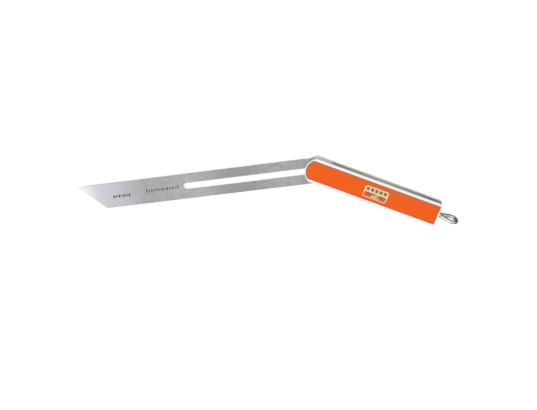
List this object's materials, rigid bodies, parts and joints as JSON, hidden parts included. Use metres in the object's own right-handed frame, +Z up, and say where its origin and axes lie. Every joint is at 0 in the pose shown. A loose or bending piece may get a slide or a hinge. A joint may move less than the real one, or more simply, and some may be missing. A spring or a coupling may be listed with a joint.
{
  "type": "sliding bevel",
  "caption": "Sliding bevel with a slotted steel blade in an aluminium stock with orange side panels, locked by a thumb loop at the butt.",
  "frame": {"origin": "on the pivot axis, in the lower side face that the stock lies on", "axes": "+X along the stock from pivot to butt, +Y across the stock towards the side the long blade tip is on, +Z up through the stock's thickness"},
  "size_m": [0.3536, 0.1252, 0.0142],
  "materials": {
    "bare_aluminium": "satin bright",
    "orange_panel": "satin",
    "label_film": "printed film",
    "cast_block": "matte cast",
    "blade_steel": "brushed lengthwise",
    "bright_steel": "turned",
    "plated_steel": "polished plate",
    "bush_brass": "turned"
  },
  "bodies": {
    "stock": {"stock_wall_lower": "bare_aluminium", "stock_wall_upper": "bare_aluminium", "side_panel_lower": "orange_panel", "side_panel_upper": "orange_panel", "label_plate": "label_film", "butt_block": "cast_block", "butt_rivets": "bright_steel", "pivot_pin": "bright_steel", "pivot_nut": "bright_steel", "friction_washer_lower": "bright_steel", "screw_bush": "bush_brass", "thrust_washer": "bright_steel", "butt_washer": "bright_steel"},
    "slot_carrier": {"slot_block": "bush_brass"},
    "blade": {"blade": "blade_steel"},
    "lock": {"lock_screw": "bright_steel", "thrust_collar": "bright_steel", "collar_pin": "bright_steel", "thumb_loop": "plated_steel", "loop_pin": "bright_steel"},
    "wedge": {"wedge_fork": "cast_block"},
    "clamp": {"pressure_plate": "bright_steel", "friction_washer_upper": "bright_steel"}
  },
  "joints": [
    {"name": "blade_pivot", "type": "hinge", "parent": "stock", "child": "slot_carrier", "pos_m": [0, 0, 0.0034], "axis": [0, 0, 1], "range_deg": [-193.4, 136.1]},
    {"name": "blade_slide", "type": "slide", "parent": "slot_carrier", "child": "blade", "axis": [0.878, 0.4787, 0], "range_m": [0, 0.128]},
    {"name": "wedge_travel", "type": "slide", "parent": "stock", "child": "wedge", "axis": [-1, 0, 0], "range_m": [0, 0.0014]},
    {"name": "lock_turn", "type": "hinge", "parent": "stock", "child": "lock", "pos_m": [0.12, 0, 0.0072], "axis": [1, 0, 0], "range_deg": [0, 720.5]},
    {"name": "clamp_lift", "type": "slide", "parent": "stock", "child": "clamp", "axis": [0, 0, 1], "range_m": [0, 0.000211]}
  ],
  "couplings": [
    {"joint": "lock_turn", "follows": "wedge_travel", "rad_per_m": 8976},
    {"joint": "clamp_lift", "follows": "wedge_travel", "ratio": 0.15}
  ]
}
